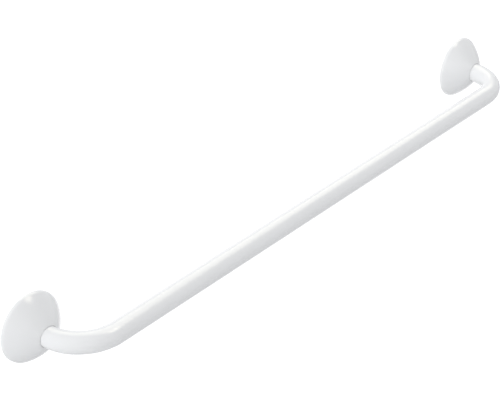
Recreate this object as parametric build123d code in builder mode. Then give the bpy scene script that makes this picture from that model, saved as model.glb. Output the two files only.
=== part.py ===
"""Grab bar: a bent round tube welded to two wall plates, with a domed cover over each plate.

The wall is the plane Y = 0 and the bar stands off it towards -Y. X runs along the bar, Z is up, and the
origin lies on the wall midway between the two legs. All sizes are in millimetres.
"""
from build123d import *
import os

os.makedirs("parts", exist_ok=True)

# Tube
leg_distance = 817.0
tube_diameter = 25.0
tube_wall = 1.5
bend_radius = 52.0
bar_standoff = 80.0

# Domed cover
cover_diameter = 83.0
cover_height = 30.5
cover_wall = 2.0
cover_dome_radius = 95.0
cover_shoulder_height = 3.0
cover_shoulder_radius = 7.0
cover_lip_radius = 0.3
cover_neck_depth = 3.0
cover_neck_wall = 1.8
cover_tube_clearance = 0.25
cover_wall_clearance = 0.3

# Grip pads inside the cover, on its outer half, so that the cover can tip off towards the bar
pad_length = 6.3
pad_rise = 3.5
pad_arc = 12.0
pad_spacing_angle = 78.0
pad_count = 3
pad_clearance = 0.2

# Wall plate
plate_thickness = 3.0
plate_edge_radius = 0.8
plate_tube_clearance = 0.05
tube_end_recess = 0.5
weld_leg = 3.0
weld_crown = 0.4
screw_hole_diameter = 6.5
screw_circle_diameter = 48.0
screw_count = 3
first_screw_angle = 90.0

# Sizes that follow from the ones above
leg_offset = leg_distance / 2
bend_start = bar_standoff - bend_radius
grip_half_length = leg_offset - bend_radius
tube_radius = tube_diameter / 2
cover_radius = cover_diameter / 2
cover_bore_radius = tube_radius + cover_tube_clearance
plate_radius = cover_radius - cover_wall - pad_length - pad_clearance
plate_bore_radius = tube_radius + plate_tube_clearance
dome_start = (cover_radius, cover_shoulder_height)
dome_end = (cover_bore_radius, cover_height)
dome_centre = RadiusArc(dome_start, dome_end, -cover_dome_radius).arc_center
end_sides = {"left": -1, "right": 1}


def leg_foot(side):
    """Point where the leg's axis meets the wall."""
    return Vector(side * leg_offset, 0, 0)


def leg_axis(side):
    """Axis of one leg, pointing out of the wall."""
    return Axis(leg_foot(side), (0, -1, 0))


def leg_section(side):
    """Plane through a leg's axis: local x runs outwards along the bar, local y out of the wall."""
    return Plane(leg_foot(side), x_dir=(side, 0, 0), z_dir=(0, 0, -side))


def dome_height(radius, inset):
    """Height above the wall of the dome's arc, set in from its skin, at a distance from the leg's axis."""
    rise = (cover_dome_radius - inset) ** 2 - (radius - dome_centre.X) ** 2
    return dome_centre.Y + rise**0.5


def dome_area(inset):
    """Half section of the space under the dome, set in from its skin, with a round shoulder at the rim."""
    rim_radius = cover_radius - inset
    rim_foot = (rim_radius, cover_wall_clearance)
    bore_foot = (cover_bore_radius, cover_wall_clearance)
    shoulder = (rim_radius, dome_height(rim_radius, inset))
    crown = (cover_bore_radius, dome_height(cover_bore_radius, inset))
    with BuildSketch() as area:
        with BuildLine():
            Polyline(crown, bore_foot, rim_foot, shoulder)
            RadiusArc(shoulder, crown, inset - cover_dome_radius)
        make_face()
        rim_corners = area.vertices().group_by(Axis.X)[-1]
        fillet(rim_corners.sort_by(Axis.Y)[-1], radius=cover_shoulder_radius - inset)
    return area.sketch


def wall_plane(side):
    """Plane on the wall at a leg's foot: local z points out of the wall."""
    return Plane(leg_foot(side), x_dir=(1, 0, 0), z_dir=(0, -1, 0))


# Tube, bent at both ends, its open ends set just inside the plates' backs
with BuildPart() as grab_tube:
    with BuildLine() as route:
        left_leg = Line((-leg_offset, -tube_end_recess), (-leg_offset, -bend_start))
        JernArc(left_leg @ 1, (0, -1), radius=bend_radius, arc_size=90)
        grip = Line((-grip_half_length, -bar_standoff), (grip_half_length, -bar_standoff))
        JernArc(grip @ 1, (1, 0), radius=bend_radius, arc_size=90)
        Line((leg_offset, -bend_start), (leg_offset, -tube_end_recess))
    with BuildSketch(Plane(left_leg @ 0, z_dir=left_leg % 0)):
        Circle(tube_radius)
        Circle(tube_radius - tube_wall, mode=Mode.SUBTRACT)
    sweep(path=route.line)
grab_tube.part.label = "grab_tube"
export_step(grab_tube.part, "parts/grab_tube.step")

for end, side in end_sides.items():
    # Wall plate with its screw holes, welded round the leg
    with BuildPart() as wall_plate:
        with BuildSketch(wall_plane(side)):
            Circle(plate_radius)
            Circle(plate_bore_radius, mode=Mode.SUBTRACT)
            with PolarLocations(screw_circle_diameter / 2, screw_count, start_angle=first_screw_angle):
                Circle(screw_hole_diameter / 2, mode=Mode.SUBTRACT)
        extrude(amount=plate_thickness)
        plate_rim = wall_plate.edges().filter_by(GeomType.CIRCLE).sort_by(SortBy.RADIUS)[-2:]
        fillet(plate_rim.sort_by(Axis.Y)[0], radius=plate_edge_radius)
        with BuildSketch(leg_section(side)):
            with BuildLine():
                weld_top = (plate_bore_radius, plate_thickness + weld_leg)
                weld_root = (plate_bore_radius, plate_thickness)
                weld_toe = (plate_bore_radius + weld_leg, plate_thickness)
                Polyline(weld_top, weld_root, weld_toe)
                SagittaArc(weld_top, weld_toe, weld_crown)
            make_face()
        revolve(axis=leg_axis(side))
    wall_plate.part.label = f"{end}_flange"
    export_step(wall_plate.part, f"parts/{end}_flange.step")

    # Domed cover: an even wall with a neck round the tube and grip pads that meet the plate's edge
    with BuildPart() as cover:
        with BuildSketch(leg_section(side)):
            add(dome_area(inset=0))
            add(dome_area(inset=cover_wall), mode=Mode.SUBTRACT)
            with Locations((cover_bore_radius, dome_height(cover_bore_radius, inset=cover_wall))):
                Rectangle(cover_neck_wall, cover_neck_depth, align=(Align.MIN, Align.MAX))
        revolve(axis=leg_axis(side))
        bore_lip = cover.edges().filter_by(GeomType.CIRCLE).sort_by(Axis.Y)[0]
        fillet(bore_lip, radius=cover_lip_radius)
        for index in range(pad_count):
            pad_angle = (index - (pad_count - 1) / 2) * pad_spacing_angle - pad_arc / 2
            with BuildSketch(leg_section(side).rotated((0, pad_angle, 0))):
                add(dome_area(inset=cover_wall / 2))
                with Locations((plate_radius + pad_clearance, cover_wall_clearance)):
                    Rectangle(cover_radius, pad_rise, align=(Align.MIN, Align.MIN), mode=Mode.INTERSECT)
            revolve(axis=leg_axis(side), revolution_arc=-pad_arc)
    cover.part.label = f"{end}_cover"
    export_step(cover.part, f"parts/{end}_cover.step")
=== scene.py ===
"""White grab bar: a bent coated tube, two wall plates and two domed covers, in a plain pale studio.

Sizes are in metres, in the shared frame: the wall is the plane Y = 0, the bar stands off it towards -Y,
X runs along the bar and Z is up. A turned piece is made lying on its own axis, with local Z out of the
wall and local X outwards along the bar, and is then set on its leg.
"""
import logging
import math
from dataclasses import dataclass, field
from enum import Enum

import bpy
from mathutils import Matrix, Vector


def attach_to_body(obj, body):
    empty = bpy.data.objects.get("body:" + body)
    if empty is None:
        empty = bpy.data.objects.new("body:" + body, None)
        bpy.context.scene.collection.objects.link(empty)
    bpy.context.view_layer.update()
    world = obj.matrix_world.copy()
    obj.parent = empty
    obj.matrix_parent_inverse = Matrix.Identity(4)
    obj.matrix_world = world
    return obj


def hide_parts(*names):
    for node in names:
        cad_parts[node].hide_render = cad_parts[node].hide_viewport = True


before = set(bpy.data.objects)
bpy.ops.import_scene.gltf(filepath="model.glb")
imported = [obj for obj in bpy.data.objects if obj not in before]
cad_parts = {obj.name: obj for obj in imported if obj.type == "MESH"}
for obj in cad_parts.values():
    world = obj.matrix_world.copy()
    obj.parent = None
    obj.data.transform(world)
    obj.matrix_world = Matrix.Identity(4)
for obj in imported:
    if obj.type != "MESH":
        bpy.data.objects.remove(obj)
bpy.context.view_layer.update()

log = logging.getLogger("grab_bar")

MM = 0.001
FULL_TURN = 2 * math.pi
LEG_DISTANCE = 0.817
PARABOLA_TO_ONE = 4.0
MIX_COLOUR_A, MIX_COLOUR_B, MIX_COLOUR_RESULT = 6, 7, 2
Section = list[tuple[float, float]]
Colour = tuple[float, float, float]
Direction = tuple[float, float, float]


class End(Enum):
    """The two ends of the bar, by the side of the wall's middle that they stand on."""

    LEFT = -1
    RIGHT = 1

    @property
    def word(self) -> str:
        """The end's name as the nodes and bodies write it."""
        return self.name.lower()


class Slot(Enum):
    """The record's finishes."""

    TUBE = "coated_steel"
    PLATE = "coated_plate"
    COVER = "moulded_cover"


class NodeBench:
    """A node tree under construction, with one call that adds a node and wires it."""

    def __init__(self, tree: bpy.types.NodeTree) -> None:
        """Takes the tree to work on.

        Args:
            tree: The node tree that gets the new nodes.
        """
        self.tree = tree

    def add(self, kind: str, wires: dict[str | int, object] | None = None,
            **settings: object) -> bpy.types.Node:
        """Adds a node.

        Args:
            kind: Blender's name for the node type.
            wires: Input name or number to a constant, or to the socket that feeds it.
            settings: Properties of the node itself.

        Returns:
            The new node.
        """
        node = self.tree.nodes.new(kind)
        for name, value in settings.items():
            setattr(node, name, value)
        for key, value in (wires or {}).items():
            socket = node.inputs[key]
            if isinstance(value, bpy.types.NodeSocket):
                self.tree.links.new(value, socket)
            else:
                socket.default_value = value
        return node

    def math(self, operation: str, *terms: object) -> bpy.types.NodeSocket:
        """Adds a Math node.

        Args:
            operation: The Math node's operation.
            terms: Its inputs in order, each a number or a socket.

        Returns:
            The result's socket.
        """
        return self.add("ShaderNodeMath", dict(enumerate(terms)), operation=operation).outputs[0]


class SizedTree(NodeBench):
    """A geometry node tree with named sizes, which is run once and leaves a plain mesh."""

    def __init__(self, name: str) -> None:
        """Starts the tree.

        Args:
            name: The tree's name.
        """
        super().__init__(bpy.data.node_groups.new(name, "GeometryNodeTree"))
        for direction in ("INPUT", "OUTPUT"):
            self.tree.interface.new_socket("Geometry", in_out=direction, socket_type="NodeSocketGeometry")
        self.entry = self.tree.nodes.new("NodeGroupInput")
        self.values: dict[str, object] = {}

    def size(self, name: str, value: float | int | bpy.types.Material) -> bpy.types.NodeSocket:
        """Adds a named input.

        Args:
            name: What the input is called.
            value: The value that the run gives it: a length, a count or a material.

        Returns:
            The socket that carries the value inside the tree.
        """
        kind = {int: "NodeSocketInt", float: "NodeSocketFloat"}.get(type(value), "NodeSocketMaterial")
        socket = self.tree.interface.new_socket(name, in_out="INPUT", socket_type=kind)
        self.values[socket.identifier] = value
        return next(output for output in self.entry.outputs if output.identifier == socket.identifier)

    def merged(self, shape: bpy.types.NodeSocket, distance: float = 0.005 * MM) -> bpy.types.NodeSocket:
        """Joins the points that a union or a cut leaves on top of each other.

        Args:
            shape: The socket with the cut or joined mesh.
            distance: Points closer than this become one.

        Returns:
            The socket with the cleaned mesh.
        """
        limit = self.size("Merge distance", distance)
        return self.add("GeometryNodeMergeByDistance", {"Geometry": shape, "Distance": limit}).outputs[0]

    def run(self, name: str, mesh: bpy.types.Mesh, shape: bpy.types.NodeSocket, coat: bpy.types.Material,
            finishers: tuple["Finisher", ...] = ()) -> bpy.types.Object:
        """Ends the tree, runs it on a mesh and keeps the result as a plain mesh.

        Args:
            name: The piece's name.
            mesh: The mesh that the tree starts from, which may be empty.
            shape: The socket with the finished shape.
            coat: The material that the whole piece gets.
            finishers: Modifiers that follow the tree.

        Returns:
            The piece, at the origin, with no modifiers left.
        """
        material = self.size("Material", coat)
        loose = self.add("GeometryNodeRealizeInstances", {0: shape})
        coated = self.add("GeometryNodeSetMaterial", {"Geometry": loose.outputs[0], "Material": material})
        self.add("NodeGroupOutput", {0: coated.outputs[0]})
        piece = bpy.data.objects.new(name, mesh)
        bpy.context.scene.collection.objects.link(piece)
        modifier = piece.modifiers.new("shape", "NODES")
        modifier.node_group = self.tree
        for identifier, value in self.values.items():
            modifier[identifier] = value
        for finisher in finishers:
            finisher.put_on(piece)
        evaluated = piece.evaluated_get(bpy.context.evaluated_depsgraph_get())
        plain = bpy.data.meshes.new_from_object(evaluated)
        piece.modifiers.clear()
        piece.data = plain
        plain.name = name
        return piece


@dataclass(frozen=True)
class Finisher:
    """A modifier that finishes a piece after its node tree."""

    kind: str
    settings: dict[str, object] = field(default_factory=dict)

    def put_on(self, piece: bpy.types.Object) -> None:
        """Adds the modifier.

        Args:
            piece: The object that gets it.
        """
        modifier = piece.modifiers.new(self.kind.lower(), self.kind)
        for name, value in self.settings.items():
            setattr(modifier, name, value)


@dataclass(frozen=True)
class WhiteCoat:
    """A white finish: slow changes of tone, a gloss that varies a little and a fine skin texture."""

    name: str
    pale: Colour
    deep: Colour
    roughness: tuple[float, float]
    skin_scale: float
    skin_depth: float
    glass_index: float = 1.5
    tone_scale: float = 14.0
    tone_detail: float = 3.0
    gloss_scale: float = 60.0
    gloss_detail: float = 4.0
    skin_detail: float = 2.0

    def material(self) -> bpy.types.Material:
        """Builds the node material.

        Returns:
            The material, which reads Object coordinates.
        """
        made = bpy.data.materials.new(self.name)
        made.use_nodes = True
        bench = NodeBench(made.node_tree)
        shader = made.node_tree.nodes["Principled BSDF"]
        place = bench.add("ShaderNodeTexCoord").outputs["Object"]
        noises = [
            bench.add("ShaderNodeTexNoise", {"Vector": place, "Scale": scale, "Detail": detail})
            for scale, detail in (
                (self.tone_scale, self.tone_detail),
                (self.gloss_scale, self.gloss_detail),
                (self.skin_scale, self.skin_detail),
            )
        ]
        tone, gloss, skin = (noise.outputs["Fac"] for noise in noises)
        blend = bench.add("ShaderNodeMix", {
            0: tone, MIX_COLOUR_A: (*self.deep, 1.0), MIX_COLOUR_B: (*self.pale, 1.0),
        }, data_type="RGBA")
        low, high = self.roughness
        rough = bench.add("ShaderNodeMapRange", {"Value": gloss, "To Min": low, "To Max": high})
        bump = bench.add("ShaderNodeBump", {"Height": skin, "Distance": self.skin_depth})
        for name, source in (
            ("Base Color", blend.outputs[MIX_COLOUR_RESULT]),
            ("Roughness", rough.outputs["Result"]),
            ("Normal", bump.outputs["Normal"]),
        ):
            made.node_tree.links.new(source, shader.inputs[name])
        shader.inputs["IOR"].default_value = self.glass_index
        return made


POWDER_GLOSS = WhiteCoat(
    "white_powder_gloss", pale=(0.86, 0.865, 0.87), deep=(0.84, 0.847, 0.855), roughness=(0.12, 0.18),
    skin_scale=420.0, skin_depth=0.02 * MM,
)
MOULDED_GLOSS = WhiteCoat(
    "white_moulded_gloss", pale=(0.85, 0.855, 0.86), deep=(0.832, 0.838, 0.846), roughness=(0.14, 0.20),
    skin_scale=650.0, skin_depth=0.012 * MM,
)
PLATE_SATIN = WhiteCoat(
    "white_plate_satin", pale=(0.83, 0.835, 0.84), deep=(0.79, 0.797, 0.805), roughness=(0.32, 0.46),
    skin_scale=520.0, skin_depth=0.04 * MM,
)


def arc_points(centre: tuple[float, float], radius: float, start: float, sweep: float, steps: int) -> Section:
    """Points along an arc, both ends included.

    Args:
        centre: The arc's centre.
        radius: Its radius.
        start: The angle of its first point, in radians.
        sweep: The angle that it turns through, in radians.
        steps: How many chords it is cut into.

    Returns:
        The points in order.
    """
    angles = [start + sweep * step / steps for step in range(steps + 1)]
    return [(centre[0] + radius * math.cos(a), centre[1] + radius * math.sin(a)) for a in angles]


def turned_mesh(name: str, section: Section, segments: int) -> bpy.types.Mesh:
    """Turns a closed section round local Z.

    Args:
        name: The mesh's name.
        section: The section's (radius, height) points, counter-clockwise, none on the axis.
        segments: How many steps make the full turn.

    Returns:
        A closed mesh with its faces outwards.
    """
    count = len(section)
    corners = []
    for step in range(segments):
        angle = FULL_TURN * step / segments
        corners += [(r * math.cos(angle), r * math.sin(angle), h) for r, h in section]
    faces = []
    for step in range(segments):
        here, ahead = step * count, (step + 1) % segments * count
        for point in range(count):
            after = (point + 1) % count
            faces.append((here + point, ahead + point, ahead + after, here + after))
    mesh = bpy.data.meshes.new(name)
    mesh.from_pydata(corners, [], faces)
    return mesh


def smooth(piece: bpy.types.Object, crease_deg: float = 35.0) -> None:
    """Shades a piece smooth, apart from its creases.

    Args:
        piece: The object.
        crease_deg: Edges that turn by more than this stay sharp.
    """
    piece.data.shade_smooth()
    piece.data.set_sharp_from_angle(angle=math.radians(crease_deg))


def attach(piece: bpy.types.Object, body: str, node: str) -> None:
    """Puts a finished piece on its body in place of its node.

    Args:
        piece: The finished object.
        body: The body that it moves with.
        node: The node that it stands for.
    """
    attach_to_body(piece, body)
    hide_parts(node)
    log.info("%s: %d faces on %s", piece.name, len(piece.data.polygons), body)


@dataclass
class LegSeat:
    """The place of a leg on the wall."""

    leg_distance: float = LEG_DISTANCE

    def matrix(self, end: End) -> Matrix:
        """The turn and shift that set a turned piece on a leg.

        Args:
            end: Which leg.

        Returns:
            Local Z goes out of the wall and local X outwards along the bar.
        """
        side = end.value
        turn = Matrix(((side, 0, 0), (0, 0, -1), (0, side, 0))).to_4x4()
        return Matrix.Translation((side * self.leg_distance / 2, 0, 0)) @ turn


@dataclass
class GripTube:
    """The bar itself: one round tube with a bend at each end."""

    leg_distance: float = LEG_DISTANCE
    standoff: float = 80.0 * MM
    bend_radius: float = 52.0 * MM
    tube_radius: float = 12.5 * MM
    wall: float = 1.5 * MM
    end_recess: float = 0.5 * MM
    bend_steps: int = 48
    route_points: int = 320
    round_segments: int = 80

    def build(self, coat: bpy.types.Material) -> bpy.types.Object:
        """Sweeps the tube along its route.

        Args:
            coat: The tube's finish.

        Returns:
            The tube, with its hollow bore.
        """
        tree = SizedTree("bent_tube")
        half = tree.math("MULTIPLY", tree.size("Leg distance", self.leg_distance), 0.5)
        away = tree.math("MULTIPLY", half, -1.0)
        bar = tree.math("MULTIPLY", tree.size("Standoff", self.standoff), -1.0)
        foot = tree.math("MULTIPLY", tree.size("End recess", self.end_recess), -1.0)
        corners = [
            tree.add("ShaderNodeCombineXYZ", {"X": x, "Y": y}).outputs[0]
            for x, y in ((away, foot), (away, bar), (half, bar), (half, foot))
        ]
        frame_line = tree.add("GeometryNodeCurvePrimitiveQuadrilateral", mode="POINTS")
        for index, corner in enumerate(corners, start=1):
            tree.tree.links.new(corner, frame_line.inputs[f"Point {index}"])
        open_line = tree.add("GeometryNodeSetSplineCyclic", {
            "Geometry": frame_line.outputs[0], "Cyclic": False,
        })
        bent = tree.add("GeometryNodeFilletCurve", {
            "Curve": open_line.outputs[0],
            "Count": tree.size("Bend steps", self.bend_steps),
            "Radius": tree.size("Bend radius", self.bend_radius),
        }, mode="POLY")
        route = tree.add("GeometryNodeResampleCurve", {
            "Curve": bent.outputs[0],
            "Count": tree.size("Route points", self.route_points),
        })
        ring = tree.add("GeometryNodeCurvePrimitiveCircle", {
            "Resolution": tree.size("Round segments", self.round_segments),
            "Radius": tree.size("Tube radius", self.tube_radius),
        })
        skin = tree.add("GeometryNodeCurveToMesh", {
            "Curve": route.outputs[0], "Profile Curve": ring.outputs[0],
        })
        hollow = Finisher("SOLIDIFY", {"thickness": self.wall, "offset": -1.0, "use_even_offset": True})
        return tree.run("tube", bpy.data.meshes.new("tube"), skin.outputs[0], coat, (hollow,))

    def dress(self, piece: bpy.types.Object) -> None:
        """Smooths the tube and puts it on the bar."""
        smooth(piece)
        attach(piece, "bar", "grab_tube")


@dataclass
class DomedCover:
    """A hollow moulded dome, threaded on a leg, that hides the wall plate."""

    seat: LegSeat = field(default_factory=LegSeat)
    rim_radius: float = 41.5 * MM
    height: float = 30.5 * MM
    wall: float = 2.0 * MM
    bore_radius: float = 12.75 * MM
    wall_gap: float = 0.3 * MM
    dome_radius: float = 95.0 * MM
    shoulder_height: float = 3.0 * MM
    shoulder_radius: float = 7.0 * MM
    lip_radius: float = 0.3 * MM
    neck_depth: float = 3.0 * MM
    neck_wall: float = 1.8 * MM
    pad_inner_radius: float = 33.2 * MM
    pad_length: float = 6.3 * MM
    pad_root: float = 0.5 * MM
    pad_rise: float = 3.5 * MM
    pad_arc_deg: float = 12.0
    pad_spacing_deg: float = 78.0
    pad_count: int = 3
    pad_steps: int = 9
    segments: int = 160
    dome_steps: int = 44
    shoulder_steps: int = 14
    lip_steps: int = 6

    def dome_centre(self) -> Vector:
        """The centre of the dome's arc, on the far side of the leg's axis.

        Returns:
            The (radius, height) point from which the skin is one dome radius away.
        """
        start = Vector((self.rim_radius, self.shoulder_height))
        crown = Vector((self.bore_radius, self.height))
        half = (crown - start) / 2
        inwards = Vector((-half.y, half.x)).normalized()
        return start + half + inwards * math.sqrt(self.dome_radius**2 - half.length_squared)

    def round_inside(self, radius: float, across: float) -> tuple[Vector, float]:
        """A round that touches the skin from inside.

        Args:
            radius: The round's radius.
            across: How far its centre lies from the leg's axis.

        Returns:
            The round's centre, and the angle at which it touches the skin.
        """
        centre = self.dome_centre()
        rise = math.sqrt((self.dome_radius - radius) ** 2 - (across - centre.x) ** 2)
        return Vector((across, centre.y + rise)), math.atan2(rise, across - centre.x)

    def dome_line(self, inset: float, finish: float) -> Section:
        """The dome's section from the rim towards the bore.

        Args:
            inset: How far inside the skin the line runs.
            finish: The angle about the dome's centre at which the line ends.

        Returns:
            Points on the round shoulder and then on the dome's arc.
        """
        shoulder, meet = self.round_inside(self.shoulder_radius, self.rim_radius - self.shoulder_radius)
        turn = arc_points(shoulder, self.shoulder_radius - inset, 0.0, meet, self.shoulder_steps)
        arc = arc_points(self.dome_centre(), self.dome_radius - inset, meet, finish - meet, self.dome_steps)
        return turn + arc[1:]

    def section(self) -> Section:
        """The cover's wall, cut through: rim, skin, rounded lip, neck and lining.

        Returns:
            The closed section, counter-clockwise.
        """
        centre, lining_radius = self.dome_centre(), self.dome_radius - self.wall
        lip, lip_meet = self.round_inside(self.lip_radius, self.bore_radius + self.lip_radius)
        lip_edge = arc_points(lip, self.lip_radius, lip_meet, math.pi - lip_meet, self.lip_steps)
        neck_outer = self.bore_radius + self.neck_wall
        crown_angle, neck_angle = (
            math.acos((radius - centre.x) / lining_radius) for radius in (self.bore_radius, neck_outer)
        )
        neck_foot = centre.y + lining_radius * math.sin(crown_angle) - self.neck_depth
        neck = [(self.bore_radius, neck_foot), (neck_outer, neck_foot)]
        rim_foot = [(self.rim_radius - self.wall, self.wall_gap), (self.rim_radius, self.wall_gap)]
        skin, lining = self.dome_line(0.0, lip_meet), self.dome_line(self.wall, neck_angle)
        return rim_foot + skin + lip_edge[1:] + neck + lining[::-1]

    def pads(self, tree: SizedTree) -> bpy.types.NodeSocket:
        """Sets the grip pads round the inside of the rim.

        Args:
            tree: The cover's tree.

        Returns:
            The socket with all the pads.
        """
        inner = tree.size("Pad inner radius", self.pad_inner_radius)
        reach = tree.size("Pad reach", self.pad_length + self.pad_root)
        rise = tree.size("Pad rise", self.pad_rise)
        arc = tree.size("Pad arc", math.radians(self.pad_arc_deg))
        spacing = tree.size("Pad spacing", math.radians(self.pad_spacing_deg))
        count = tree.size("Pad count", self.pad_count)
        middle = tree.math("ADD", inner, tree.math("MULTIPLY", reach, 0.5))
        line = tree.add("GeometryNodeCurveArc", {
            "Resolution": self.pad_steps, "Radius": middle, "Sweep Angle": arc,
        }, mode="RADIUS")
        block = tree.add("GeometryNodeCurvePrimitiveQuadrilateral", {"Width": reach, "Height": rise})
        pad = tree.add("GeometryNodeCurveToMesh", {
            "Curve": line.outputs[0], "Profile Curve": block.outputs[0], "Fill Caps": True,
        })
        lift = tree.math("ADD", tree.math("MULTIPLY", rise, 0.5), tree.size("Wall gap", self.wall_gap))
        place = tree.add("ShaderNodeCombineXYZ", {"Z": lift})
        spots = tree.add("GeometryNodePoints", {"Count": count, "Position": place.outputs[0]})
        order = tree.add("GeometryNodeInputIndex").outputs[0]
        first = tree.math("MULTIPLY", tree.math("SUBTRACT", count, 1.0), -0.5)
        turn = tree.math("MULTIPLY", tree.math("ADD", order, first), spacing)
        centred = tree.math("SUBTRACT", turn, tree.math("MULTIPLY", arc, 0.5))
        heading = tree.add("ShaderNodeCombineXYZ", {"Z": centred})
        ring = tree.add("GeometryNodeInstanceOnPoints", {
            "Points": spots.outputs[0], "Instance": pad.outputs[0], "Rotation": heading.outputs[0],
        })
        return tree.add("GeometryNodeRealizeInstances", {0: ring.outputs[0]}).outputs[0]

    def build(self, end: End, coat: bpy.types.Material) -> bpy.types.Object:
        """Turns the shell and joins the grip pads to its lining.

        Args:
            end: Which leg it goes on.
            coat: The cover's finish.

        Returns:
            The cover, in its place.
        """
        tree = SizedTree(f"{end.word}_cover_shape")
        pads = self.pads(tree)
        whole = tree.add("GeometryNodeMeshBoolean", operation="UNION", solver="EXACT")
        for solid in (tree.entry.outputs[0], pads):
            tree.tree.links.new(solid, whole.inputs["Mesh 2"])
        shell = turned_mesh(f"{end.word}_cover_shell", self.section(), self.segments)
        piece = tree.run(f"{end.word}_dome", shell, tree.merged(whole.outputs["Mesh"]), coat)
        piece.data.transform(self.seat.matrix(end))
        return piece

    def dress(self, piece: bpy.types.Object, end: End) -> None:
        """Smooths a cover and puts it on its own body."""
        smooth(piece)
        attach(piece, f"{end.word}_cover", f"{end.word}_cover")


@dataclass
class WallPlate:
    """A round plate with screw holes, welded round the end of a leg."""

    seat: LegSeat = field(default_factory=LegSeat)
    plate_radius: float = 33.0 * MM
    bore_radius: float = 12.55 * MM
    thickness: float = 3.0 * MM
    edge_radius: float = 0.8 * MM
    weld_leg: float = 3.0 * MM
    weld_crown: float = 0.4 * MM
    ripple_count: int = 54
    ripple_depth: float = 0.12 * MM
    ripple_curl: float = 4.0
    ripple_edge: float = 0.001
    screw_hole_radius: float = 3.25 * MM
    screw_circle_radius: float = 24.0 * MM
    screw_count: int = 3
    first_screw_deg: float = 90.0
    drill_thicknesses: float = 4.0
    hole_segments: int = 40
    segments: int = 216
    edge_steps: int = 5
    weld_steps: int = 10

    def section(self) -> Section:
        """The plate's section with its weld bead.

        Returns:
            The closed section, counter-clockwise.
        """
        quarter = math.pi / 2
        edge = arc_points((self.plate_radius - self.edge_radius, self.thickness - self.edge_radius),
                          self.edge_radius, 0.0, quarter, self.edge_steps)
        return [(self.bore_radius, 0.0), (self.plate_radius, 0.0)] + edge + self.bead_line()

    def bead_line(self) -> Section:
        """The bulging face of the weld, from the plate up to the tube.

        Returns:
            Points on one arc.
        """
        chord = self.weld_leg * math.sqrt(2)
        radius = (chord**2 / 4 + self.weld_crown**2) / (2 * self.weld_crown)
        back = (radius - self.weld_crown) / math.sqrt(2)
        middle = (self.bore_radius + self.weld_leg / 2 - back, self.thickness + self.weld_leg / 2 - back)
        half_angle = math.asin(chord / 2 / radius)
        return arc_points(middle, radius, math.pi / 4 - half_angle, 2 * half_angle, self.weld_steps)

    def rippled(self, tree: SizedTree) -> bpy.types.NodeSocket:
        """Ripples the weld bead, most at its middle and not at all at its two edges.

        Args:
            tree: The plate's tree.

        Returns:
            The socket with the turned plate and its rippled bead.
        """
        place = tree.add("GeometryNodeInputPosition").outputs[0]
        parts = tree.add("ShaderNodeSeparateXYZ", {0: place})
        angle = tree.math("ARCTAN2", parts.outputs["Y"], parts.outputs["X"])
        above = tree.math("SUBTRACT", parts.outputs["Z"], tree.size("Thickness", self.thickness))
        rise = tree.math("DIVIDE", above, tree.size("Weld leg", self.weld_leg))
        off_middle = tree.math("SUBTRACT", rise, 0.5)
        curl = tree.math("MULTIPLY", tree.math("MULTIPLY", off_middle, off_middle), self.ripple_curl)
        half_waves = tree.math("MULTIPLY", tree.size("Ripple count", self.ripple_count), 0.5)
        phase = tree.math("ADD", tree.math("MULTIPLY", angle, half_waves), curl)
        wave = tree.math("ABSOLUTE", tree.math("SINE", phase))
        from_edges = tree.math("MULTIPLY", rise, tree.math("SUBTRACT", 1.0, rise))
        bulge = tree.math("MULTIPLY", from_edges, PARABOLA_TO_ONE)
        depth = tree.math("MULTIPLY", bulge, tree.size("Ripple depth", self.ripple_depth))
        dip = tree.math("MULTIPLY", tree.math("SUBTRACT", wave, 1.0), depth)
        facing = tree.add("GeometryNodeInputNormal").outputs[0]
        push = tree.add("ShaderNodeVectorMath", {0: facing}, operation="SCALE")
        tree.tree.links.new(dip, push.inputs["Scale"])
        on_bead = tree.math("GREATER_THAN", bulge, self.ripple_edge)
        return tree.add("GeometryNodeSetPosition", {
            "Geometry": tree.entry.outputs[0], "Selection": on_bead, "Offset": push.outputs[0],
        }).outputs[0]

    def drills(self, tree: SizedTree) -> bpy.types.NodeSocket:
        """Sets a ring of rods that cut the screw holes.

        Args:
            tree: The plate's tree.

        Returns:
            The socket with all the rods.
        """
        circle = tree.add("GeometryNodeMeshCircle", {
            "Vertices": tree.size("Screw count", self.screw_count),
            "Radius": tree.size("Screw circle radius", self.screw_circle_radius),
        })
        drill = tree.add("GeometryNodeMeshCylinder", {
            "Vertices": self.hole_segments, "Radius": tree.size("Screw hole radius", self.screw_hole_radius),
            "Depth": self.drill_thicknesses * self.thickness,
        })
        drills = tree.add("GeometryNodeInstanceOnPoints", {
            "Points": circle.outputs[0], "Instance": drill.outputs[0],
        })
        turned = tree.add("GeometryNodeTransform", {
            "Geometry": drills.outputs[0], "Rotation": (0.0, 0.0, math.radians(self.first_screw_deg)),
        })
        return tree.add("GeometryNodeRealizeInstances", {0: turned.outputs[0]}).outputs[0]

    def build(self, end: End, coat: bpy.types.Material) -> bpy.types.Object:
        """Turns the plate, ripples its weld and drills the screw holes.

        Args:
            end: Which leg it is welded to.
            coat: The plate's finish.

        Returns:
            The plate, in its place.
        """
        tree = SizedTree(f"{end.word}_plate_shape")
        drilled = tree.add("GeometryNodeMeshBoolean", {
            "Mesh 1": self.rippled(tree), "Mesh 2": self.drills(tree),
        }, operation="DIFFERENCE", solver="EXACT")
        blank = turned_mesh(f"{end.word}_plate_blank", self.section(), self.segments)
        piece = tree.run(f"{end.word}_wall_plate", blank, tree.merged(drilled.outputs["Mesh"]), coat)
        piece.data.transform(self.seat.matrix(end))
        return piece

    def dress(self, piece: bpy.types.Object, end: End) -> None:
        """Smooths a plate and puts it on the bar."""
        smooth(piece)
        attach(piece, "bar", f"{end.word}_flange")


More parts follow.
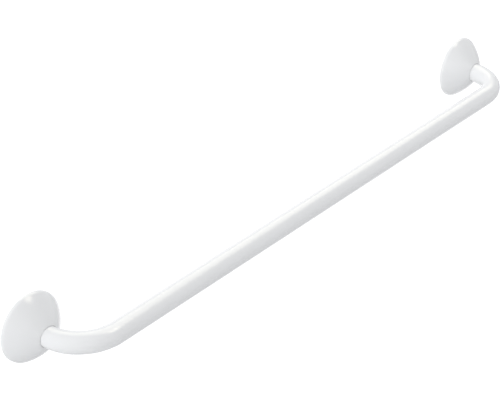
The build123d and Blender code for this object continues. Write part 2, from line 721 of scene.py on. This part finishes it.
@dataclass
class PhotoCamera:
    """The camera at the photograph's place, for a picture 500 pixels wide."""

    azimuth_deg: float = -49.681
    elevation_deg: float = 31.033
    roll_deg: float = -0.254
    distance: float = 1.99549
    aim_right: float = 0.026719
    aim_up: float = 0.026170
    focal_pixels: float = 1609.7
    picture_width: float = 500.0
    sensor_width: float = 36.0
    clip: tuple[float, float] = (0.01, 100.0)

    def build(self) -> None:
        """Makes the camera and gives it to the scene."""
        azimuth, elevation = math.radians(self.azimuth_deg), math.radians(self.elevation_deg)
        flat = math.cos(elevation)
        back = Vector((math.sin(azimuth) * flat, -math.cos(azimuth) * flat, math.sin(elevation)))
        right = (-back).cross(Vector((0, 0, 1))).normalized()
        roll = Matrix.Rotation(math.radians(self.roll_deg), 3, back)
        right = roll @ right
        up = back.cross(right)
        lens = bpy.data.cameras.new("photo_camera")
        lens.sensor_width = self.sensor_width
        lens.lens = self.focal_pixels / self.picture_width * self.sensor_width
        lens.clip_start, lens.clip_end = self.clip
        camera = bpy.data.objects.new("photo_camera", lens)
        camera.matrix_world = Matrix((right, up, back)).transposed().to_4x4()
        camera.location = back * self.distance - right * self.aim_right - up * self.aim_up
        bpy.context.scene.collection.objects.link(camera)
        bpy.context.scene.camera = camera


@dataclass(frozen=True)
class Softbox:
    """A flat, level lamp that shines down."""

    name: str
    middle: tuple[float, float, float]
    width: float
    depth: float
    turn_deg: float
    radiance: float
    tint: Colour = (1.0, 0.95, 0.79)

    def build(self) -> None:
        """Hangs the lamp, which is seen only as a reflection."""
        lamp = bpy.data.lights.new(self.name, "AREA")
        lamp.shape = "RECTANGLE"
        lamp.size, lamp.size_y = self.width, self.depth
        lamp.color = self.tint
        lamp.energy = math.pi * self.width * self.depth * self.radiance
        box = bpy.data.objects.new(self.name, lamp)
        box.location = self.middle
        box.rotation_euler = (0.0, 0.0, math.radians(self.turn_deg))
        box.visible_camera = False
        box.visible_diffuse = False
        bpy.context.scene.collection.objects.link(box)


@dataclass
class Studio:
    """A pale room: an even floor with a white sweep behind the bar, and two large softboxes above."""

    floor_drop: float = 3.0
    floor_half: float = 60.0
    floor_colour: Colour = (0.68, 0.683, 0.687)
    sweep_glow: float = 0.42
    sweep_heading_deg: float = 40.3
    sweep_start: tuple[float, float] = (1.9, 3.1)
    sweep_side: tuple[float, float] = (1.7, 2.6)
    room_tint: Colour = (0.993, 0.998, 1.006)
    room_level: float = 1.236
    room_lean: Direction = (0.264, 0.467, -0.536)
    left_side: Direction = (-0.95, -0.1, 0.2)
    left_glow: float = 1.38
    left_edge_deg: tuple[float, float] = (45.0, 25.0)
    boxes: tuple[Softbox, ...] = (
        Softbox("long_softbox", (5.62, 3.16, 6.0), width=10.0, depth=7.9, turn_deg=13.1, radiance=2.15),
        Softbox("front_softbox", (2.8, -1.72, 6.0), width=2.2, depth=3.06, turn_deg=0.0, radiance=6.0),
    )

    @staticmethod
    def seen_share(bench: NodeBench) -> bpy.types.NodeSocket:
        """Tells the rays that look at the background from those that only carry light.

        Args:
            bench: The tree of the floor or the room.

        Returns:
            One for what is looked at, straight, through glass or in a gloss, and zero for the rest.
        """
        rays = bench.add("ShaderNodeLightPath").outputs
        seen = bench.math("MAXIMUM", rays["Is Camera Ray"], rays["Is Transmission Ray"])
        return bench.math("MAXIMUM", seen, rays["Is Glossy Ray"])

    def sweep_share(self, bench: NodeBench) -> bpy.types.NodeSocket:
        """Tells the white sweep, which lies behind the bar, from the rest of the floor.

        Args:
            bench: The tree of the floor.

        Returns:
            One on the sweep and zero off it, with soft edges.
        """
        place = bench.add("ShaderNodeTexCoord").outputs["Object"]
        turn = math.radians(self.sweep_heading_deg)
        share: bpy.types.NodeSocket | float = 1.0
        for heading, (start, stop), ends in (
            ((math.cos(turn), math.sin(turn), 0.0), self.sweep_start, (0.0, 1.0)),
            ((math.sin(turn), -math.cos(turn), 0.0), self.sweep_side, (1.0, 0.0)),
        ):
            along = bench.add("ShaderNodeVectorMath", {0: place, 1: heading}, operation="DOT_PRODUCT")
            edge = bench.add("ShaderNodeMapRange", {
                "Value": along.outputs["Value"], "From Min": start, "From Max": stop,
                "To Min": ends[0], "To Max": ends[1],
            }, interpolation_type="SMOOTHSTEP")
            share = bench.math("MULTIPLY", share, edge.outputs["Result"])
        return share

    def build_floor(self) -> None:
        """Makes the pale floor, whose sweep behind the bar is white where it is looked at."""
        half, low = self.floor_half, -self.floor_drop
        mesh = bpy.data.meshes.new("floor")
        mesh.from_pydata([(-half, -half, low), (half, -half, low), (half, half, low), (-half, half, low)],
                         [], [(0, 1, 2, 3)])
        floor = bpy.data.objects.new("floor", mesh)
        bpy.context.scene.collection.objects.link(floor)
        paint = bpy.data.materials.new("pale_floor")
        paint.use_nodes = True
        paint.node_tree.nodes.clear()
        bench = NodeBench(paint.node_tree)
        matt = bench.add("ShaderNodeBsdfDiffuse", {"Color": (*self.floor_colour, 1.0)})
        share = bench.math("MULTIPLY", self.seen_share(bench), self.sweep_share(bench))
        glow = bench.add("ShaderNodeEmission", {"Strength": bench.math("MULTIPLY", share, self.sweep_glow)})
        both = bench.add("ShaderNodeAddShader", {0: matt.outputs[0], 1: glow.outputs[0]})
        bench.add("ShaderNodeOutputMaterial", {"Surface": both.outputs[0]})
        mesh.materials.append(paint)

    def build_room(self) -> None:
        """Lights the bar from all round: lighter from below and from the wall's side, most from the left."""
        world = bpy.data.worlds.new("soft_room")
        bpy.context.scene.world = world
        world.use_nodes = True
        world.node_tree.nodes.clear()
        bench = NodeBench(world.node_tree)
        heading = bench.add("ShaderNodeTexCoord").outputs["Generated"]
        lean = bench.add("ShaderNodeVectorMath", {0: heading, 1: self.room_lean}, operation="DOT_PRODUCT")
        leftward = bench.add("ShaderNodeVectorMath", {0: heading, 1: self.left_side}, operation="DOT_PRODUCT")
        outer, inner = (math.cos(math.radians(angle)) for angle in self.left_edge_deg)
        glow = bench.add("ShaderNodeMapRange", {
            "Value": leftward.outputs["Value"], "From Min": outer, "From Max": inner,
            "To Max": self.left_glow,
        }, interpolation_type="SMOOTHSTEP")
        even = bench.math("ADD", lean.outputs["Value"], self.room_level)
        level = bench.math("ADD", even, glow.outputs["Result"])
        room = bench.add("ShaderNodeBackground", {"Color": (*self.room_tint, 1.0), "Strength": level})
        white = bench.add("ShaderNodeBackground", {"Color": (1.0, 1.0, 1.0, 1.0), "Strength": 1.0})
        both = bench.add("ShaderNodeMixShader", {
            0: self.seen_share(bench), 1: room.outputs[0], 2: white.outputs[0],
        })
        bench.add("ShaderNodeOutputWorld", {"Surface": both.outputs[0]})

    def build(self) -> None:
        """Sets up the floor, the light and the plain view settings."""
        self.build_floor()
        self.build_room()
        for box in self.boxes:
            box.build()
        bpy.context.scene.view_settings.view_transform = "Standard"


def main() -> None:
    """Builds and dresses every piece, then the camera and the studio."""
    logging.basicConfig(level=logging.INFO, format="%(name)s %(message)s")
    PhotoCamera().build()
    Studio().build()
    powder, moulded, satin = POWDER_GLOSS.material(), MOULDED_GLOSS.material(), PLATE_SATIN.material()
    tube = GripTube()
    tube.dress(tube.build(powder))
    plate, cover = WallPlate(), DomedCover()
    for end in End:
        plate.dress(plate.build(end, satin), end)
        cover.dress(cover.build(end, moulded), end)


if __name__ == "__main__":
    main()
